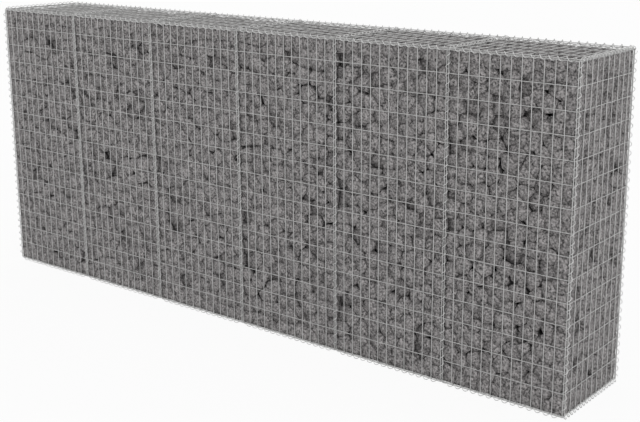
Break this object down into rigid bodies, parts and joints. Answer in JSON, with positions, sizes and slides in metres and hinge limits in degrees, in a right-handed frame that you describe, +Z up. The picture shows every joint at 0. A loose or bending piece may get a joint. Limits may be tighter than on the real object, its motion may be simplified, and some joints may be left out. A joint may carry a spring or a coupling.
{
  "type": "gabion wall",
  "caption": "Free-standing gabion wall: a straight row of tall welded-mesh wire cages, laced together with wire spirals and filled with broken grey stone.",
  "frame": {"origin": "middle of the footprint, at the level of the lowest loops of the base spirals", "axes": "+X along the wall, +Y from its front to its back, +Z up"},
  "size_m": [3.6832, 0.5326, 1.5327],
  "materials": {
    "mesh_wire": "galvanised",
    "lacing_wire": "galvanised",
    "stone": "rough, broken"
  },
  "bodies": {
    "root": {"front_panel_1": "mesh_wire", "front_panel_2": "mesh_wire", "front_panel_3": "mesh_wire", "front_panel_4": "mesh_wire", "front_panel_5": "mesh_wire", "front_panel_6": "mesh_wire", "back_panel_1": "mesh_wire", "back_panel_2": "mesh_wire", "back_panel_3": "mesh_wire", "back_panel_4": "mesh_wire", "back_panel_5": "mesh_wire", "back_panel_6": "mesh_wire", "base_panel_1": "mesh_wire", "base_panel_2": "mesh_wire", "base_panel_3": "mesh_wire", "base_panel_4": "mesh_wire", "base_panel_5": "mesh_wire", "base_panel_6": "mesh_wire", "lid_panel_1": "mesh_wire", "lid_panel_2": "mesh_wire", "lid_panel_3": "mesh_wire", "lid_panel_4": "mesh_wire", "lid_panel_5": "mesh_wire", "lid_panel_6": "mesh_wire", "left_end_panel": "mesh_wire", "divider_panel_1": "mesh_wire", "divider_panel_2": "mesh_wire", "divider_panel_3": "mesh_wire", "divider_panel_4": "mesh_wire", "divider_panel_5": "mesh_wire", "right_end_panel": "mesh_wire", "front_upright_spirals": "lacing_wire", "back_upright_spirals": "lacing_wire", "base_front_spirals": "lacing_wire", "base_back_spirals": "lacing_wire", "base_cross_spirals": "lacing_wire", "lid_front_spirals": "lacing_wire", "lid_back_spirals": "lacing_wire", "lid_cross_spirals": "lacing_wire", "stone_fill_1": "stone", "stone_fill_2": "stone", "stone_fill_3": "stone", "stone_fill_4": "stone", "stone_fill_5": "stone", "stone_fill_6": "stone"}
  },
  "joints": []
}
